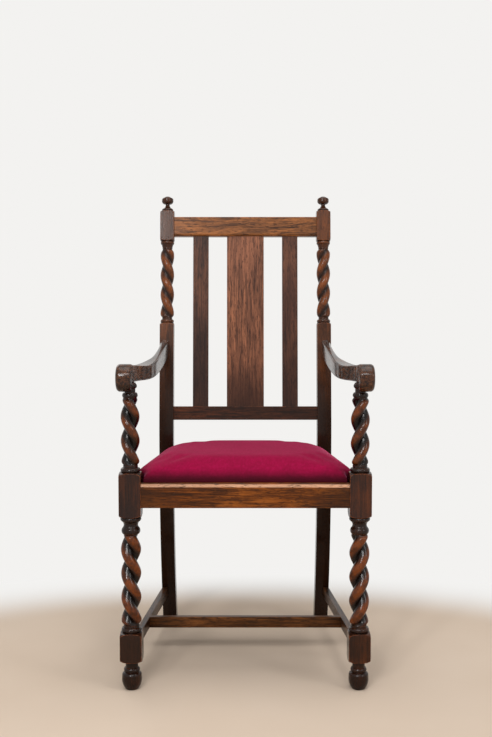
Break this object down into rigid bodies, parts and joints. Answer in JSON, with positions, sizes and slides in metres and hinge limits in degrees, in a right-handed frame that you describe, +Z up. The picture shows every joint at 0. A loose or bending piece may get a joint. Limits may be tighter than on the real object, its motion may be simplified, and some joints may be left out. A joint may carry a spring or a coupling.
{
  "type": "carver dining chair",
  "caption": "Tall-backed oak dining armchair with barley-twist posts, slatted back, scrolled arms and a lift-out upholstered seat.",
  "frame": {"origin": "on the floor, under the middle of the chair's whole width and depth", "axes": "+Z up, -Y the side a sitter faces, +X the right-hand side as the front is looked at"},
  "size_m": [0.536, 0.5574, 1.0887],
  "materials": {
    "polished_oak": "dark semi-gloss polish",
    "bare_beech": "bare wood",
    "screw_steel": "dull steel",
    "tack_steel": "blued steel",
    "jute": "coarse woven jute",
    "black_cotton": "thin woven cotton",
    "burgundy_velvet": "short-pile velvet"
  },
  "bodies": {
    "frame": {"back_post_left": "polished_oak", "back_post_right": "polished_oak", "front_post_left": "polished_oak", "front_post_right": "polished_oak", "arm_left": "polished_oak", "arm_right": "polished_oak", "top_rail": "polished_oak", "lower_back_rail": "polished_oak", "centre_splat": "polished_oak", "side_slat_left": "polished_oak", "side_slat_right": "polished_oak", "front_seat_rail": "polished_oak", "back_seat_rail": "polished_oak", "side_seat_rail_left": "polished_oak", "side_seat_rail_right": "polished_oak", "side_stretcher_left": "polished_oak", "side_stretcher_right": "polished_oak", "cross_stretcher": "polished_oak", "corner_block_front_left": "bare_beech", "corner_block_front_right": "bare_beech", "corner_block_back_left": "bare_beech", "corner_block_back_right": "bare_beech", "corner_block_screws": "screw_steel", "arm_screws": "screw_steel", "arm_screw_plugs": "polished_oak"},
    "seat": {"seat_cushion": "burgundy_velvet", "seat_frame_front": "bare_beech", "seat_frame_back": "bare_beech", "seat_frame_left": "bare_beech", "seat_frame_right": "bare_beech", "seat_frame_dowels": "bare_beech", "webbing_fore_aft": "jute", "webbing_cross": "jute", "hessian_base": "jute", "bottom_cloth": "black_cotton", "bottom_cloth_tacks": "tack_steel"}
  },
  "joints": [
    {"name": "seat_lift", "type": "slide", "parent": "frame", "child": "seat", "axis": [0, 0, 1], "range_m": [0, 0.14]}
  ]
}
